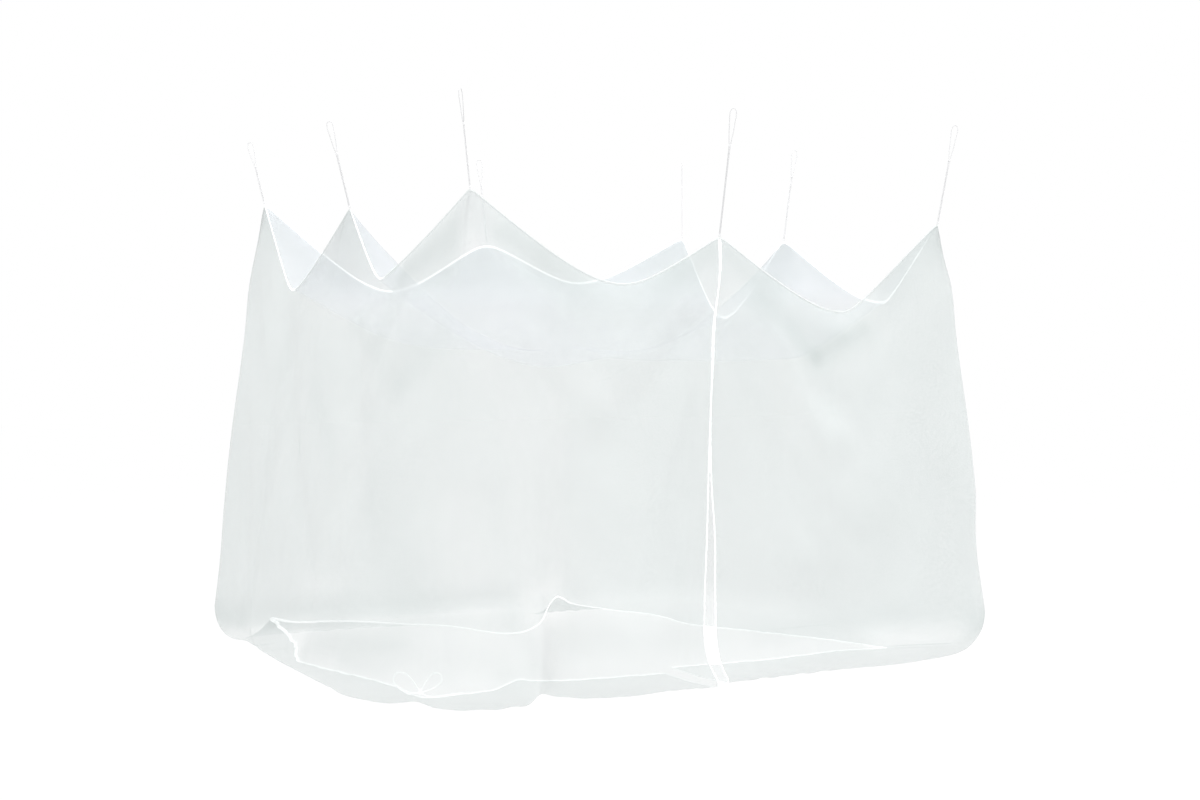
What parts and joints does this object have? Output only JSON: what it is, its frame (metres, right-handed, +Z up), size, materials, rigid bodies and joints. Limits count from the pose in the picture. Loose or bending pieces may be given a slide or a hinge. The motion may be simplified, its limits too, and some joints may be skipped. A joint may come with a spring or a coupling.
{
  "type": "mosquito net canopy",
  "caption": "Rectangular canopy of fine netting that hangs from cord loops over a bed, with a sagging roof, a door slit in the front and a drawn-in foot hem, to keep insects out.",
  "frame": {"origin": "where a hook bears in the top of the hanging loop over the door, in the middle of the front", "axes": "+X along the front, to the right of someone facing the door; +Y from the front to the back; +Z up"},
  "size_m": [2.4674, 2.0159, 1.9295],
  "materials": {
    "netting": "fine open hexagonal mesh, matt",
    "binding_tape": "narrow woven tape, matt",
    "cord": "round twisted cord, matt"
  },
  "bodies": {
    "root": {"roof": "netting", "walls": "netting", "roof_binding": "binding_tape", "door_binding_left": "binding_tape", "door_binding_right": "binding_tape", "loop_front_middle": "cord", "loop_front_left": "cord", "loop_left_middle": "cord", "loop_back_left": "cord", "loop_back_middle": "cord", "loop_back_right": "cord", "loop_right_middle": "cord", "loop_front_right": "cord", "drawcord_bow": "cord", "drawcord_knot": "cord"}
  },
  "joints": []
}
